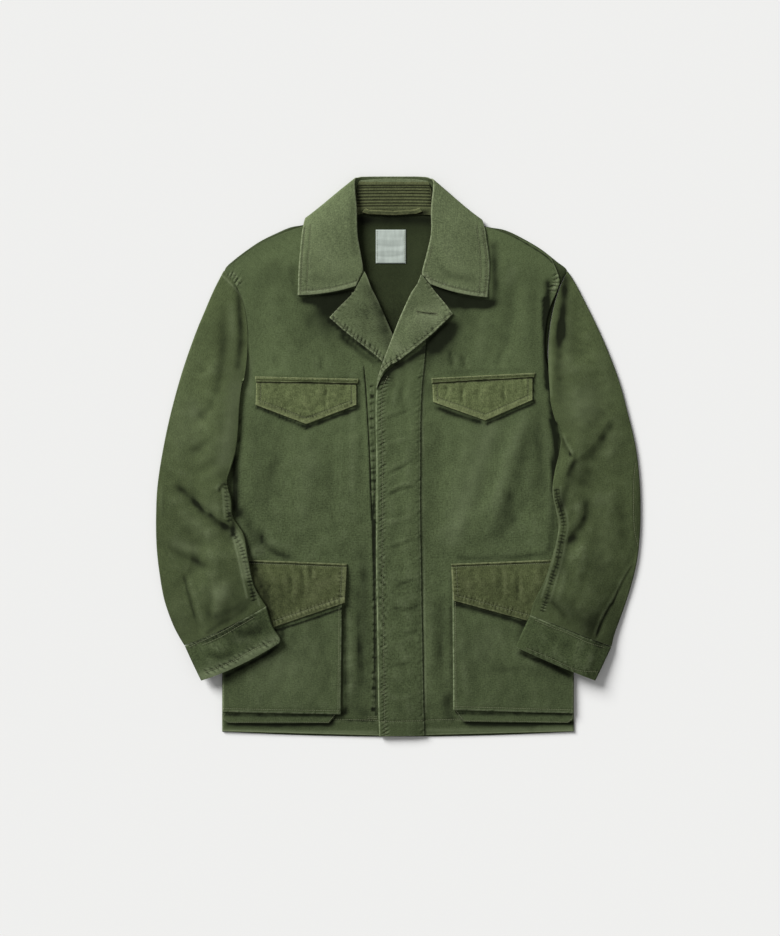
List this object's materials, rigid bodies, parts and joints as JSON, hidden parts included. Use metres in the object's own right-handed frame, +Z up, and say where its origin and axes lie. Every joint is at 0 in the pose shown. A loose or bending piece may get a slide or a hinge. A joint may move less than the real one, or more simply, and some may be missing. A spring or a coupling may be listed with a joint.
{
  "type": "field jacket",
  "caption": "Unlined cotton field jacket laid out flat, with a turned-down collar, lapels, a covered front fastening, chest flaps and large bellows pockets.",
  "frame": {"origin": "on the surface that the jacket lies on, under the middle of its outline", "axes": "+Z up from that surface, +Y from hem to collar, +X towards the wearer's left"},
  "size_m": [0.6779, 0.7834, 0.0193],
  "materials": {
    "body_twill": "matt washed cotton twill",
    "trim_twill": "matt washed cotton twill, a little yellower",
    "neck_twill": "matt dark cotton twill",
    "label_satin": "plain woven label, no text"
  },
  "bodies": {
    "root": {"back": "body_twill", "front_right": "body_twill", "front_left": "body_twill", "fly": "body_twill", "lapel_right": "body_twill", "lapel_left": "body_twill", "collar_leaf": "body_twill", "pocket_gusset_right": "body_twill", "pocket_gusset_left": "body_twill", "pocket_face_right": "body_twill", "pocket_face_left": "body_twill", "sleeve_right": "body_twill", "sleeve_left": "body_twill", "cuff_right": "body_twill", "cuff_left": "body_twill", "chest_welt_right": "trim_twill", "chest_welt_left": "trim_twill", "chest_flap_right": "trim_twill", "chest_flap_left": "trim_twill", "pocket_flap_right": "trim_twill", "pocket_flap_left": "trim_twill", "collar_stand": "neck_twill", "hanger_loop": "neck_twill", "neck_label": "label_satin"}
  },
  "joints": []
}
